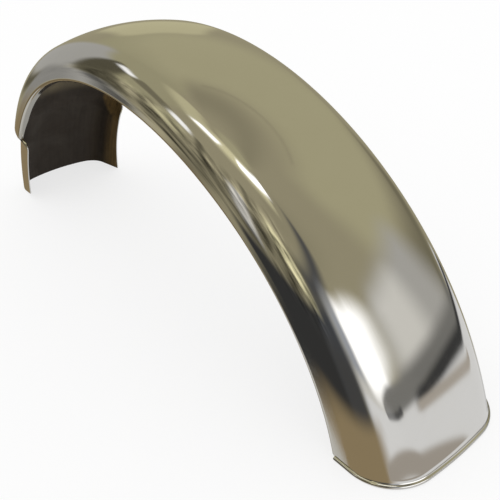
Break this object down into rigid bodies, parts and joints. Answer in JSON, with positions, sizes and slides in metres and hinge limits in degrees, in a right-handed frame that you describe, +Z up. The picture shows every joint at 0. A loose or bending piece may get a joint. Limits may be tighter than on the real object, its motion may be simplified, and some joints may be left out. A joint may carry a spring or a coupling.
{
  "type": "motorcycle rear mudguard",
  "caption": "Polished steel rear mudguard blade: a deep C-section arch over the wheel, with folded side lips, a beaded rear end and a plain stepped-in front tongue.",
  "frame": {"origin": "centre of the footprint on the level that both cut ends stand on", "axes": "+X towards the beaded rear end, +Y across the blade, +Z up away from the wheel; the wheel's axle runs along Y at x -1.5 mm, z -109 mm"},
  "size_m": [0.664, 0.1336, 0.241],
  "materials": {
    "polished_steel": "mirror polished outside, dull inside"
  },
  "bodies": {
    "root": {"mudguard_blade": "polished_steel"}
  },
  "joints": []
}
